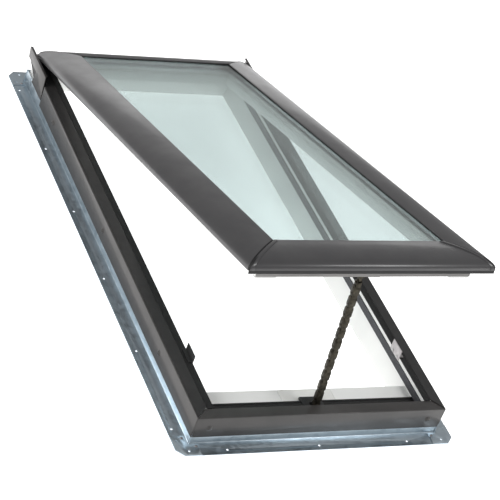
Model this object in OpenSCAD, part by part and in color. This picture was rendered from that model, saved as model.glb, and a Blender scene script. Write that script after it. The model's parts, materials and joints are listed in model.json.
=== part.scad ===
// Top-hung venting roof skylight: deck-mounted frame, glazed sash and chain operator.
// X runs across the roof, +Y up the slope and +Z away from the roof deck.
// The origin is the centre of the footprint, on the plane of the mounting flange.
// The sash is drawn shut and then turned about its hinge to the open position.

/* [Overall] */
// Width of the frame over its cladding
frame_w = 560; // [440:1:900]
// Length of the frame along the slope
frame_l = 1180; // [800:1:1500]
// Height of the cladding's outer top edge
frame_h = 67.6; // [64:0.1:76]
// Angle of the open sash
open_deg = 16.15; // [5:0.05:18]

/* [Frame] */
// Base width of a side rail
side_base_w = 57; // [50:0.5:75]
// Width of a side rail above its slanted face
side_top_w = 42; // [40:0.5:48]
// Height where the slanted inner face ends
slant_h = 39; // [30:0.5:42]
// Base width of the top rail
top_rail_w = 35.5; // [32:0.5:36]
// Base width of the bottom rail
sill_base_w = 112; // [108:0.5:130]
// Distance from the front to the inner edge of the sill ledge
sill_ledge_w = 99; // [95:0.5:104]
// Height of the sill ledge
sill_ledge_h = 39.5; // [38.5:0.1:40]
// Distance from the front to the end of the sill seal
seal_end = 66.5; // [64:0.5:72]
// Height of the rebate floor under the sill seal
rebate_h = 42; // [41:0.1:42.5]
// Thickness of the aluminium cladding
clad_t = 1.2; // [0.8:0.1:1.4]
// Height of the cladding's lower edge
clad_low = 17.4; // [12:0.1:24]
// Width of the cladding's top leg on the sides
clad_leg = 28; // [20:0.5:32]
// Width of the cladding's top leg at the front
front_leg = 24; // [18:0.5:24.5]
// Rise of the top face across its full width
top_rise = 3.3; // [1:0.1:3.6]
// Thickness of the rubber seals
seal_t = 1.8; // [1:0.1:2]

/* [Flange] */
// Width of the mounting flange outside the frame
flange_w = 32.7; // [28:0.1:60]
// Thickness of the galvanised sheet
sheet_t = 1.2; // [0.8:0.1:1.2]
// Height of the flange's standing leg
flange_leg = 34; // [26:1:60]
// Radius of a deck screw hole
hole_r = 2.3; // [1.5:0.1:3]
// Distance of the screw holes outside the frame
hole_out = 21; // [16:0.5:24]
// Spacing of the screw holes along the sides
side_pitch = 220; // [120:1:230]
// Spacing of the screw holes at the front and back
front_pitch = 203; // [120:1:230]
// Chamfer of a corner piece
corner_cut = 16; // [4:0.5:20]

/* [Sash] */
// Step in from the frame's outer side to the covers
cover_in = 10; // [0:0.5:30]
// Gap between the frame and the covers' lower edge when shut
skirt_lift = 8.4; // [6.4:0.1:10.4]
// Overhang of the sash past the front of the frame
overhang = 5.3; // [0:0.1:8]
// Gap from the hinge axis back to the sash's top edge
top_gap = 10.5; // [9:0.1:14]
// Width of a side cover
cover_side_w = 80; // [70:0.5:84]
// Width of the bottom cover
cover_bottom_w = 74; // [66:0.5:78]
// Width of the top cover
cover_top_w = 59.5; // [56:0.5:66]
// Straight height of a cover's skirt
skirt_h = 5; // [3:0.5:8]
// Rise of the curved part of a cover
crown_h = 24; // [22:0.5:26]
// Thickness of the covers
cover_t = 1.5; // [1:0.1:1.5]
// Clearance of the sash rails inside the frame
rail_gap = 3; // [2.6:0.1:8]
// Width of a sash side rail
rail_w = 45; // [40:0.5:46]
// Height of the side rails' underside when shut
rail_z = 45.5; // [45:0.1:50]
// Set-back of the bottom rail behind the bottom cover
front_inset = 31.3; // [30.5:0.1:34]
// Height of the bottom rail's underside when shut
bottom_rail_z = 49; // [48.5:0.1:54]
// Width of the sash top rail
top_sash_w = 43; // [38:0.5:46]

/* [Glazing] */
// Thickness of the outer pane
pane_t = 4; // [3:0.5:6]
// Thickness of the laminated inner pane
inner_t = 6; // [4:0.5:8]
// Width of the cavity between the panes
cavity = 12; // [8:0.5:14]
// Glass edge cover beneath the sash covers
edge_cover = 18; // [12:0.5:19]
// Width of the spacer bar
spacer_w = 6.5; // [5:0.5:8]
// Thickness of the glazing gasket
gasket_t = 1.5; // [1:0.1:2]
// Gasket width showing on the glass
gasket_lip = 3; // [1:0.5:5]

/* [Hinge] */
// Distance of the hinge axis from the back of the frame
hinge_back = 5; // [4:0.5:8]
// Height of the hinge axis over the frame
hinge_lift = 8.4; // [7.9:0.1:10.4]
// Distance of the guide plates from the front
guide_in = 150; // [120:1:260]
// Length of the guide plates
guide_l = 40; // [30:1:60]
// Radius of the hinge pin
pin_r = 3; // [2.5:0.1:3.2]
// Radial running clearance of the pin
pin_gap = 0.05; // [0.02:0.01:0.1]
// Radius of the hinge knuckle
knuckle_r = 5.2; // [4.8:0.1:5.4]
// Length of the hinge cover along the slope
hinge_cover_l = 127; // [120:1:160]

/* [Operator] */
// Distance of the chain exit from the front
chain_y = 42; // [41:0.5:43]
// Height of the chain's lower pivot
chain_z = 43; // [42.5:0.1:43.5]
// Pitch of the chain
chain_pitch = 12.7; // [12:0.1:14]
// Length of the link at the end of the chain, pin to pin
end_link_l = 13.6; // [13:0.1:20]
// Teeth on the chain sprocket
sprocket_teeth = 7; // [7:1:7]
// Height of the sprocket axis
sprocket_z = 22; // [21:0.5:23]
// Half width of the operator housing
housing_half = 60; // [56:1:80]
// Wall of the operator housing
housing_t = 2; // [1.5:0.1:2.5]
// Radius of the crank spindle
spindle_r = 3.5; // [3:0.1:4]
// Distance of the crank spindle from the middle
spindle_x = 28; // [26:1:34]

/* [Hidden] */
$fn = 48;

hw = frame_w / 2;
front = -frame_l / 2;
back = frame_l / 2;
hinge_y = back - hinge_back;
hinge_z = frame_h + hinge_lift;
cover_half = hw - cover_in;
skirt_z = frame_h + skirt_lift;
sheet_gap = 0.1;
mitre_gap = 0.2;
leg_out = hw - clad_t - sheet_gap;
leg_in = leg_out - sheet_t;
wood_half = leg_in - sheet_gap;
end_clear = clad_t + sheet_t + 3 * sheet_gap;
inner_half = hw - side_top_w;
base_half = hw - side_base_w;
rise_rate = top_rise / side_top_w;
bed_gap = 0.2;
skin = clad_t + sheet_t + 2 * sheet_gap;
wood_top = frame_h - clad_t - bed_gap;
wood_in_top = wood_top + top_rise - bed_gap;
screw_z = 40;
screw_in = 33;
screw_places = [0.18, 0.5, 0.82];
head_r = 4.2;
shank_r = 1.9;
shank_l = 2.3;
seal_zone = side_top_w - clad_leg;
strip_high = frame_h - 6.6;
strip_t = 2;
side_seal_out = inner_half + seal_zone;
flange_out = hw + flange_w;
row_out = hw + hole_out;
corner_tab = 20;
lap_t = 1;
corner_hole_in = 7.5;
corner_hole_out = 5;
rivet_out = 9;
rivet_in = 14;
flange_rivet_r = 1.6;
rivet_hole_r = flange_rivet_r + 0.05;
side_count = 2 * floor((frame_l / 2 - 40 - side_pitch / 2) / side_pitch) + 2;
side_rows = [for (i = [0 : side_count - 1]) (i - (side_count - 1) / 2) * side_pitch];
front_count = 2 * floor((frame_w / 2 - 40) / front_pitch) + 1;
front_rows = [for (i = [0 : front_count - 1]) (i - (front_count - 1) / 2) * front_pitch];
rail_out = inner_half - rail_gap;
rail_in = rail_out - rail_w;
cover_front = front - overhang;
cover_back = hinge_y - top_gap;
sash_front = cover_front + front_inset;
shut_gap = 3.5;
sash_back = back - top_rail_w - seal_t - shut_gap;
glass_x = cover_half - cover_side_w;
glass_front = cover_front + cover_bottom_w;
glass_back = cover_back - cover_top_w;
cover_top_z = skirt_z + skirt_h + crown_h;
pane_top = cover_top_z - cover_t - gasket_t;
unit_t = pane_t + cavity + inner_t;
pane_low = pane_top - unit_t;
sash_top_z = cover_top_z - cover_t - 3;
bracket_l = 112;
cover_start_y = back - bracket_l;
slot_gap = 6;
side_clad_end = cover_start_y - slot_gap;
knuckle_len = 26;
knuckle_in = hw - 40;
bracket_t = 4;
bracket_hole_r = 2.2;
bracket_out = wood_half - 1;
bracket_in = bracket_out - bracket_t;
wood_cut = bracket_in - 0.5;
chain_front = front + chain_y;
sprocket_r = chain_pitch / (2 * sin(180 / sprocket_teeth));
sprocket_y = chain_front + sprocket_r;
reach_y = hinge_y - chain_front;
reach_z = hinge_z - chain_z;
chain_reach = sqrt(reach_y * reach_y + reach_z * reach_z);
chain_span = 2 * chain_reach * sin(open_deg / 2);
chain_lean = open_deg / 2 - atan(reach_z / reach_y);
chain_links = floor((chain_span - end_link_l) / chain_pitch);
chain_start = chain_span - end_link_l - chain_links * chain_pitch;
plate_t = 1.5;
chain_half = 6.8;
plate_r = 6.2;
rivet_r = 2.2;
housing_back = front + sill_ledge_w - 4;
housing_front = chain_front - 10;
housing_low = 3;
housing_high = sill_ledge_h - 2;
wheel_x = -spindle_x;
wheel_r = 8.2;
worm_r = 4.2;
worm_z = sprocket_z - wheel_r - worm_r - 0.4;
lid_half = 23;
lid_back = front + 73;
lid_top = rebate_h + 4.6;
lid_slot_half = 9;
lid_slot_front = chain_front - 8;
lid_slot_back = chain_front + 12;
pocket_gap = 0.5;
cover_gap = 0.2;
shaft_r = 3;
spindle_end = front + sill_base_w - 1;
eye_r = 8;
eye_bore_r = 5.5;
eye_t = 4;
screw_x = lid_half + 5;
bracket_screw_y = sash_front + 28;
link_pin_r = 2.5;
guide_t = 1.5;
guide_low = strip_high + 0.5;
guide_high = frame_h + 20;
guide_y0 = front + guide_in;
guide_y1 = guide_y0 + guide_l;
guide_screw_in = 10;
guide_screw_up = 4;
guide_screw_r = 1.6;
side_step = rail_w - edge_cover - 2;
bottom_rail_w = glass_front - sash_front + 3;
cover_joint = 0.2;
cover_steps = 16;
white_paint = [0.93, 0.93, 0.92];
clad_grey = [0.36, 0.35, 0.34];
rubber_black = [0.08, 0.08, 0.08];
zinc = [0.60, 0.66, 0.70];
steel = [0.55, 0.55, 0.53];
glass_tint = [0.82, 0.90, 0.89, 0.35];

// ---------- shared helpers ----------

// Extrudes a Y-Z outline along X, between two x values.
module along_x(x0, x1) {
    translate([x0, 0, 0])
        rotate([90, 0, 90])
            linear_extrude(x1 - x0) children();
}

// Extrudes an X-Z outline along Y, between two y values.
module along_y(y0, y1) {
    translate([0, y1, 0])
        rotate([90, 0, 0])
            linear_extrude(y1 - y0) children();
}

// A box given by its lowest and highest corners.
module block(low, high) {
    translate(low) cube(high - low);
}

// A round bar along X.
module bar_x(x0, x1, y, z, r) {
    translate([x0, y, z])
        rotate([0, 90, 0])
            cylinder(h = x1 - x0, r = r);
}

// A round bar along Y.
module bar_y(y0, y1, x, z, r) {
    translate([x, y0, z])
        rotate([-90, 0, 0])
            cylinder(h = y1 - y0, r = r);
}

// Draws on the right and mirrors to the left when side is -1.
module on_side(side) {
    if (side > 0) children();
    else mirror([1, 0, 0]) children();
}

// Turns what is drawn for the shut sash into its open place.
module opened() {
    translate([0, hinge_y, hinge_z])
        rotate([-open_deg, 0, 0])
            translate([0, -hinge_y, -hinge_z]) children();
}

// Height of the frame's top face at a distance in from the outside.
function top_z(inset) = frame_h + inset * rise_rate;

// ---------- timber frame ----------

module side_rail() {
    difference() {
        along_y(front + skin, back - skin)
            polygon([
                [base_half, 0],
                [wood_half, 0],
                [wood_half, wood_top],
                [inner_half, wood_in_top],
                [inner_half, slant_h]
            ]);
        // Room for the bottom cladding's top leg.
        block([base_half - 1, front, wood_top], [hw, front + front_leg + 0.3, frame_h + 20]);
        // Room for the hinge bracket outside the upper end.
        block([wood_cut, cover_start_y - 2, 30], [hw, back, frame_h + 10]);
    }
}

module frame_side_left() {
    color(white_paint) on_side(-1) side_rail();
}

module frame_side_right() {
    color(white_paint) on_side(1) side_rail();
}

// The space between the two side rails, as an X-Z outline.
module between_sides() {
    polygon([
        [-base_half, -1],
        [base_half, -1],
        [base_half, 0],
        [inner_half, slant_h],
        [inner_half, frame_h + 20],
        [-inner_half, frame_h + 20],
        [-inner_half, slant_h],
        [-base_half, 0]
    ]);
}

module frame_bottom_rail() {
    color(white_paint)
        difference() {
            intersection() {
                along_x(-hw, hw)
                    polygon([
                        [front + skin, 0],
                        [front + sill_base_w, 0],
                        [front + sill_ledge_w, sill_ledge_h],
                        [front + seal_end, sill_ledge_h],
                        [front + seal_end, rebate_h],
                        [front + front_leg - clad_t - bed_gap, rebate_h],
                        [front + front_leg - clad_t - bed_gap, wood_top],
                        [front + skin, wood_top]
                    ]);
                along_y(front - 1, front + sill_base_w + 1) between_sides();
            }
            block([-housing_half - pocket_gap, housing_front - pocket_gap, housing_low - pocket_gap],
                  [housing_half + pocket_gap, front + sill_base_w + 1, rebate_h + 1]);
            block([-housing_half - pocket_gap, housing_back + pocket_gap, -1],
                  [housing_half + pocket_gap, front + sill_base_w + 1, rebate_h + 1]);
        }
}

module frame_top_rail() {
    color(white_paint)
        intersection() {
            along_x(-hw, hw)
                polygon([
                    [back - top_rail_w, 0],
                    [back - skin, 0],
                    [back - skin, wood_top],
                    [back - top_rail_w, wood_top + top_rail_w * rise_rate - bed_gap]
                ]);
            along_y(back - top_rail_w - 1, back) between_sides();
        }
}

// ---------- aluminium cladding of the frame ----------

// Outline of a cladding section: a standing face and a sloping top leg.
module clad_outline(leg) {
    polygon([
        [0, clad_low],
        [clad_t, clad_low],
        [clad_t, frame_h - clad_t + 0.1],
        [leg, top_z(leg) - clad_t],
        [leg, top_z(leg)],
        [0, frame_h]
    ]);
}

// Plan of the left half of the frame, cut at 45 degrees at the two corners.
module side_mitre(y1, corner) {
    translate([0, 0, -1])
        linear_extrude(frame_h + 40)
            polygon([
                [hw + 1, front - 1],
                [hw + 1, y1],
                [hw - corner, y1],
                [hw - corner, front + corner]
            ]);
}

module side_cladding() {
    intersection() {
        translate([hw, 0, 0])
            along_y(front, side_clad_end)
                mirror([1, 0, 0]) clad_outline(clad_leg);
        side_mitre(side_clad_end, clad_leg + 2);
    }
}

module screw_holes() {
    for (side = [-1, 1])
        bar_y(front - 1, front + 6, side * (hw - screw_in), screw_z, shank_r + 0.2);
    for (side = [-1, 1], t = screw_places)
        bar_x(side * hw - 6, side * hw + 6, front + t * frame_l, screw_z, shank_r + 0.2);
}

module cladding_left() {
    color(clad_grey)
        difference() {
            on_side(-1) side_cladding();
            screw_holes();
        }
}

module cladding_right() {
    color(clad_grey)
        difference() {
            on_side(1) side_cladding();
            screw_holes();
        }
}

module cladding_bottom() {
    color(clad_grey)
        difference() {
            translate([0, front, 0])
                along_x(-hw, hw) clad_outline(front_leg);
            for (side = [-1, 1])
                on_side(side)
                    translate([0, 0, -1])
                        linear_extrude(frame_h + 40)
                            polygon([
                                [hw - mitre_gap, front],
                                [hw + 40, front],
                                [hw + 40, front + 40],
                                [hw - mitre_gap - 40, front + 40]
                            ]);
            screw_holes();
        }
}

module cladding_top() {
    color(clad_grey)
        difference() {
            translate([0, back, 0])
                mirror([0, 1, 0])
                    along_x(-inner_half - 20, inner_half + 20) clad_outline(front_leg);
            for (side = [-1, 1])
                on_side(side)
                    block([inner_half - 3, back - front_leg - 1, frame_h - 4],
                          [hw, back - clad_t - 1, frame_h + 20]);
        }
}

module pan_head(r) {
    rotate_extrude()
        polygon([[0, 0], [r, 0], [r, 0.7], [r * 0.72, 1.7], [0, 1.9]]);
}

module cladding_screw() {
    pan_head(head_r);
    translate([0, 0, -shank_l]) cylinder(h = shank_l, r = shank_r);
}

module cladding_screws() {
    color(steel) {
        for (side = [-1, 1])
            translate([side * (hw - screw_in), front, screw_z])
                rotate([90, 0, 0]) cladding_screw();
        for (side = [-1, 1], t = screw_places)
            translate([side * hw, front + t * frame_l, screw_z])
                rotate([0, side * 90, 0]) cladding_screw();
    }
}

// ---------- seals of the frame ----------

module side_seal() {
    along_y(front + front_leg + 0.2, hinge_y - knuckle_r - 12)
        polygon([
            [inner_half, wood_in_top],
            [side_seal_out - bed_gap, wood_top + clad_leg * rise_rate - bed_gap / 2],
            [side_seal_out - bed_gap, wood_top + clad_leg * rise_rate + seal_t],
            [inner_half, wood_in_top + seal_t]
        ]);
}

module frame_seal_left() {
    color(rubber_black) on_side(-1) side_seal();
}

module frame_seal_right() {
    color(rubber_black) on_side(1) side_seal();
}

module frame_seal_top() {
    color(rubber_black)
        block([-inner_half, back - top_rail_w - seal_t, slant_h + 2],
              [inner_half, back - top_rail_w, frame_h - 2]);
}

module sill_seal() {
    color(rubber_black)
        difference() {
            block([-inner_half, front + front_leg - clad_t, rebate_h],
                  [inner_half, front + seal_end, rebate_h + seal_t]);
            block([-lid_half - 0.3, housing_front - 0.3, rebate_h - 1],
                  [lid_half + 0.3, front + seal_end + 1, rebate_h + 5]);
        }
}

module draught_strip() {
    block([inner_half - strip_t, front + front_leg + 1, rebate_h + seal_t + 0.5],
          [inner_half, sash_back, strip_high]);
}

module draught_strip_left() {
    color([0.2, 0.2, 0.2]) on_side(-1) draught_strip();
}

module draught_strip_right() {
    color([0.2, 0.2, 0.2]) on_side(1) draught_strip();
}

// ---------- galvanised mounting flange ----------

module flange_outline() {
    polygon([
        [leg_in, 0],
        [flange_out, 0],
        [flange_out, sheet_t],
        [leg_out, sheet_t],
        [leg_out, flange_leg],
        [leg_in, flange_leg]
    ]);
}

module side_flange() {
    difference() {
        along_y(front, back) flange_outline();
        for (y = side_rows)
            translate([row_out, y, -1]) cylinder(h = 4, r = hole_r);
        // The standing leg stops short of the end cladding.
        for (y = [front - 1, back - end_clear])
            block([leg_in - 1, y, sheet_t], [leg_out + 0.05, y + end_clear + 1, flange_leg + 1]);
        for (end = [-1, 1]) {
            translate([row_out, end * (back - corner_hole_in), -1]) cylinder(h = 4, r = hole_r);
            translate([hw + rivet_out, end * (back - rivet_in), -1]) cylinder(h = 4, r = rivet_hole_r);
        }
    }
}

// The end flanges stop short of the side flanges' standing legs.
module end_flange() {
    difference() {
        intersection() {
            translate([0, back - hw, 0])
                rotate([0, 0, 90])
                    along_y(-hw, hw) flange_outline();
            block([-hw, back - 4, -1], [hw, back + flange_w + 1, 90]);
        }
        // The side flanges' standing legs pass here.
        for (side = [-1, 1])
            block([side * (hw - 1) - 2, back - 10, -1], [side * (hw - 1) + 2, back, flange_leg + 1]);
        for (x = front_rows)
            translate([x, back + hole_out, -1]) cylinder(h = 4, r = hole_r);
        for (side = [-1, 1])
            translate([side * (hw - rivet_in), back + rivet_out, -1]) cylinder(h = 4, r = rivet_hole_r);
    }
}

module flange_left() {
    color(zinc) on_side(-1) side_flange();
}

module flange_right() {
    color(zinc) on_side(1) side_flange();
}

module flange_bottom() {
    color(zinc) mirror([0, 1, 0]) end_flange();
}

module flange_top() {
    color(zinc) end_flange();
}

// A corner plate fills the square between two flanges and laps over both.
module corner_piece() {
    difference() {
        union() {
            translate([hw, back, 0])
                linear_extrude(sheet_t)
                    polygon([
                        [0, 0],
                        [flange_w, 0],
                        [flange_w, flange_w - corner_cut],
                        [flange_w - corner_cut, flange_w],
                        [0, flange_w]
                    ]);
            translate([hw, back, sheet_t])
                linear_extrude(lap_t)
                    polygon([
                        [2, -corner_tab],
                        [flange_w - 2, -corner_tab],
                        [flange_w, -corner_tab + 2],
                        [flange_w, flange_w - corner_cut],
                        [flange_w - corner_cut, flange_w],
                        [-corner_tab + 2, flange_w],
                        [-corner_tab, flange_w - 2],
                        [-corner_tab, 2],
                        [2, 2]
                    ]);
        }
        translate([row_out, back - corner_hole_in, -1]) cylinder(h = 5, r = hole_r);
        translate([hw + corner_hole_out, back + hole_out, -1]) cylinder(h = 5, r = hole_r);
        translate([hw + rivet_out, back - rivet_in, -1]) cylinder(h = 5, r = rivet_hole_r);
        translate([hw - rivet_in, back + rivet_out, -1]) cylinder(h = 5, r = rivet_hole_r);
    }
}

module corner_piece_top_right() {
    color(zinc) corner_piece();
}

module corner_piece_top_left() {
    color(zinc) mirror([1, 0, 0]) corner_piece();
}

module corner_piece_bottom_right() {
    color(zinc) mirror([0, 1, 0]) corner_piece();
}

module corner_piece_bottom_left() {
    color(zinc) mirror([1, 0, 0]) mirror([0, 1, 0]) corner_piece();
}

module flange_rivet() {
    cylinder(h = sheet_t + lap_t, r = flange_rivet_r);
    translate([0, 0, sheet_t + lap_t])
        rotate_extrude()
            polygon([[0, 0], [3.2, 0], [2.6, 0.8], [0, 1.1]]);
}

module flange_rivets() {
    color(steel)
        for (sx = [-1, 1], sy = [-1, 1]) {
            translate([sx * (hw + rivet_out), sy * (back - rivet_in), 0]) flange_rivet();
            translate([sx * (hw - rivet_in), sy * (back + rivet_out), 0]) flange_rivet();
        }
}

// ---------- hinges ----------

// Bracket screwed to the outside of a side rail, carrying the pin.
module hinge_bracket() {
    difference() {
        along_x(bracket_in, bracket_out)
            polygon([
                [cover_start_y + 6, 34],
                [cover_start_y + 60, 34],
                [hinge_y + 9, 60],
                [hinge_y + 9, hinge_z + 7],
                [hinge_y + 3, hinge_z + 10],
                [hinge_y - 8, hinge_z + 10],
                [cover_start_y + 6, 64]
            ]);
        bar_x(bracket_in - 1, bracket_out + 1, hinge_y, hinge_z, pin_r + pin_gap);
        for (y = [20, 45])
            bar_x(bracket_in - 1, bracket_out + 1, cover_start_y + y, 46, bracket_hole_r);
    }
}

module hinge_bracket_left() {
    color(steel) on_side(-1) hinge_bracket();
}

module hinge_bracket_right() {
    color(steel) on_side(1) hinge_bracket();
}

// Flat side cover over the bracket, notched at its lower rear corner.
module hinge_cover() {
    top = frame_h + 21.4;
    notch = frame_h - 4;
    along_x(hw - clad_t, hw)
        polygon([
            [cover_start_y - 3, clad_low + 12],
            [cover_start_y + 70, clad_low + 12],
            [cover_start_y + 66, clad_low + 20],
            [cover_start_y + 60, notch],
            [cover_start_y + hinge_cover_l - 6, notch],
            [cover_start_y + hinge_cover_l, top],
            [cover_start_y + 3, top],
            [cover_start_y + 1, frame_h + 8]
        ]);
    // Inner return along the top edge.
    along_x(hw - 6, hw - clad_t)
        polygon([
            [cover_start_y + 6, top - clad_t],
            [cover_start_y + hinge_cover_l - 2, top - clad_t],
            [cover_start_y + hinge_cover_l - 2, top],
            [cover_start_y + 6, top]
        ]);
}

module hinge_cover_left() {
    color(clad_grey) on_side(-1) hinge_cover();
}

module hinge_cover_right() {
    color(clad_grey) on_side(1) hinge_cover();
}

module hinge_pin() {
    bar_x(knuckle_in + 1, bracket_out, hinge_y, hinge_z, pin_r);
    bar_x(bracket_out, bracket_out + 1.4, hinge_y, hinge_z, pin_r + 2);
}

module hinge_pin_left() {
    color(steel) on_side(-1) hinge_pin();
}

module hinge_pin_right() {
    color(steel) on_side(1) hinge_pin();
}

// Angle screwed to the sash rail, ending in the knuckle on the pin.
module hinge_leaf() {
    leaf_low = skirt_z - 4;
    leaf_high = skirt_z - 1;
    difference() {
        union() {
            block([rail_out, sash_back - 60, leaf_low], [rail_out + 3, sash_back - 1, leaf_high + 18]);
            block([rail_out, sash_back - 60, leaf_low], [knuckle_in + knuckle_len, hinge_y, leaf_high]);
            bar_x(knuckle_in, knuckle_in + knuckle_len, hinge_y, hinge_z, knuckle_r);
        }
        bar_x(rail_out - 1, hw, hinge_y, hinge_z, pin_r + pin_gap);
    }
}

module hinge_leaf_left() {
    color(steel) opened() on_side(-1) hinge_leaf();
}

module hinge_leaf_right() {
    color(steel) opened() on_side(1) hinge_leaf();
}

// ---------- guide plates ----------

module guide_plate() {
    difference() {
        block([inner_half - guide_t, guide_y0, guide_low], [inner_half, guide_y1, guide_high]);
        for (y = [guide_y0 + guide_screw_in, guide_y1 - guide_screw_in])
            bar_x(inner_half - 3, inner_half + 3, y, guide_low + guide_screw_up, guide_screw_r + 0.05);
    }
    block([inner_half, guide_y0, wood_in_top + seal_t], [inner_half + 8, guide_y1, frame_h + 5.2]);
}

module guide_plate_left() {
    color([0.66, 0.65, 0.65]) on_side(-1) guide_plate();
}

module guide_plate_right() {
    color([0.66, 0.65, 0.65]) on_side(1) guide_plate();
}

module guide_screws() {
    color(steel)
        for (side = [-1, 1], y = [guide_y0 + guide_screw_in, guide_y1 - guide_screw_in])
            on_side(side)
                translate([inner_half - guide_t, y, guide_low + guide_screw_up])
                    rotate([0, -90, 0]) {
                        cylinder(h = 0.8, r = 3);
                        translate([0, 0, -guide_t]) cylinder(h = guide_t, r = guide_screw_r);
                    }
}

// ---------- chain operator ----------

module operator_housing() {
    color([0.3, 0.3, 0.31]) {
        difference() {
            block([-housing_half, housing_front, housing_low], [housing_half, housing_back, housing_high]);
            block([-housing_half + housing_t, housing_front + housing_t, housing_low + housing_t],
                  [housing_half - housing_t, housing_back - housing_t, housing_high + 1]);
            bar_y(housing_back - 5, housing_back + 1, wheel_x, worm_z, spindle_r + pin_gap);
        }
        for (x = [-16, 12]) bearing_web(x);
    }
}

// A web across the housing that carries the sprocket shaft.
module bearing_web(x) {
    difference() {
        block([x, sprocket_y - 7, housing_low + housing_t], [x + 4, sprocket_y + 7, sprocket_z + 8]);
        bar_x(x - 1, x + 5, sprocket_y, sprocket_z, shaft_r + pin_gap);
    }
}

// Black lid with the slot that the chain comes out of.
module operator_lid() {
    color(rubber_black)
        difference() {
            union() {
                block([-lid_half, housing_front, housing_high], [lid_half, lid_back, rebate_h + 2]);
                along_x(-lid_half, lid_half)
                    polygon([
                        [housing_front, rebate_h + 2],
                        [lid_back, rebate_h + 2],
                        [lid_back - 3, lid_top],
                        [housing_front + 1, lid_top]
                    ]);
            }
            block([-lid_slot_half, lid_slot_front, housing_high - 1],
                  [lid_slot_half, lid_slot_back, lid_top + 1]);
        }
}

// Painted cover that closes the housing on the room side.
module operator_cover() {
    cover_w = housing_half - cover_gap;
    color(white_paint)
        difference() {
            along_x(-cover_w, cover_w)
                polygon([
                    [housing_back + 1, 0.6],
                    [front + sill_base_w - 0.4, 0.6],
                    [front + sill_ledge_w - cover_gap, sill_ledge_h],
                    [front + seal_end + cover_gap, sill_ledge_h],
                    [front + seal_end + cover_gap, housing_high + 0.1],
                    [housing_back + 1, housing_high + 0.1]
                ]);
            block([-lid_half - 0.3, front + seal_end, housing_high - 1],
                  [lid_half + 0.3, lid_back + 0.3, sill_ledge_h + 1]);
            bar_y(housing_back, front + sill_base_w + 1, wheel_x, worm_z, spindle_r + 0.3);
        }
}

module sprocket() {
    color(steel) {
        difference() {
            bar_x(-3.2, 3.2, sprocket_y, sprocket_z, sprocket_r + 0.8);
            for (i = [0 : sprocket_teeth - 1])
                translate([0, sprocket_y, sprocket_z])
                    rotate([(i - chain_start / chain_pitch) * 360 / sprocket_teeth + 180, 0, 0])
                        bar_x(-4, 4, sprocket_r, 0, 4.6);
            bar_x(-4, 4, sprocket_y, sprocket_z, shaft_r);
        }
        bar_x(wheel_x + 7, 20, sprocket_y, sprocket_z, shaft_r);
    }
}

module worm_wheel() {
    teeth = 12;
    color([0.72, 0.58, 0.3])
        difference() {
            bar_x(wheel_x - 4, wheel_x + 7, sprocket_y, sprocket_z, wheel_r);
            for (i = [0 : teeth - 1])
                translate([0, sprocket_y, sprocket_z])
                    rotate([i * 360 / teeth, 0, 0])
                        bar_x(wheel_x - 5, wheel_x + 8, wheel_r + 0.3, 0, 1.1);
        }
}

module crank_worm() {
    color(steel) {
        bar_y(housing_front + housing_t + 1, housing_back - housing_t - 1, wheel_x, worm_z, 2.2);
        difference() {
            bar_y(sprocket_y - 11, sprocket_y + 11, wheel_x, worm_z, worm_r);
            for (i = [-3 : 3])
                translate([wheel_x, sprocket_y + i * 3.2 - 0.7, worm_z])
                    rotate([-90, 0, 0])
                        difference() {
                            cylinder(h = 1.4, r = worm_r + 1);
                            translate([0, 0, -1]) cylinder(h = 4, r = worm_r - 1.1);
                        }
        }
        bar_y(housing_back - housing_t - 1, spindle_end, wheel_x, worm_z, spindle_r);
    }
}

// Eye that a hooked crank rod turns.
module crank_eye() {
    eye_y = spindle_end + eye_r + 1;
    color(steel)
        difference() {
            union() {
                bar_y(spindle_end, spindle_end + 3, wheel_x, worm_z, spindle_r + 1);
                translate([wheel_x, eye_y, worm_z - eye_t / 2]) cylinder(h = eye_t, r = eye_r);
            }
            translate([wheel_x, eye_y, worm_z - eye_t]) cylinder(h = 2 * eye_t, r = eye_bore_r);
        }
}

// One chain link: two cheeks, drawn along +Z from the origin.
module chain_link(inner) {
    x0 = inner ? chain_half - 2 * plate_t - 0.1 : chain_half - plate_t;
    for (side = [-1, 1])
        on_side(side)
            along_x(x0, x0 + plate_t) {
                circle(r = plate_r - (inner ? 0.3 : 0));
                translate([0, chain_pitch]) circle(r = plate_r - (inner ? 0.3 : 0));
                translate([-plate_r * 0.72, 0]) square([plate_r * 1.44, chain_pitch]);
            }
}

// Places children on the chain's line, a number of pitches up from the lower pivot.
module on_chain(pitches) {
    translate([0, chain_front, chain_z])
        rotate([-chain_lean, 0, 0])
            translate([0, 0, chain_start + pitches * chain_pitch]) children();
}

module chain() {
    color([0.42, 0.41, 0.38]) {
        for (i = [-1 : chain_links - 1])
            on_chain(i) chain_link(i % 2 != 0);
        for (i = [-1 : chain_links])
            on_chain(i) bar_x(-chain_half - 0.6, chain_half + 0.6, 0, 0, rivet_r);
    }
}

// Last link, from the chain's end to the pin on the sash.
module chain_end_link() {
    end_r = plate_r * 0.65;
    color([0.42, 0.41, 0.38])
        on_chain(chain_links)
            difference() {
                along_x(-3, 3) {
                    translate([0, end_r]) circle(r = end_r);
                    translate([-end_r, end_r]) square([2 * end_r, end_link_l - end_r]);
                    translate([0, end_link_l]) circle(r = end_r);
                }
                translate([0, 0, end_link_l]) bar_x(-4, 4, 0, 0, link_pin_r + pin_gap);
                bar_x(-4, 4, 0, 0, rivet_r + 0.3);
            }
}

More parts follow.
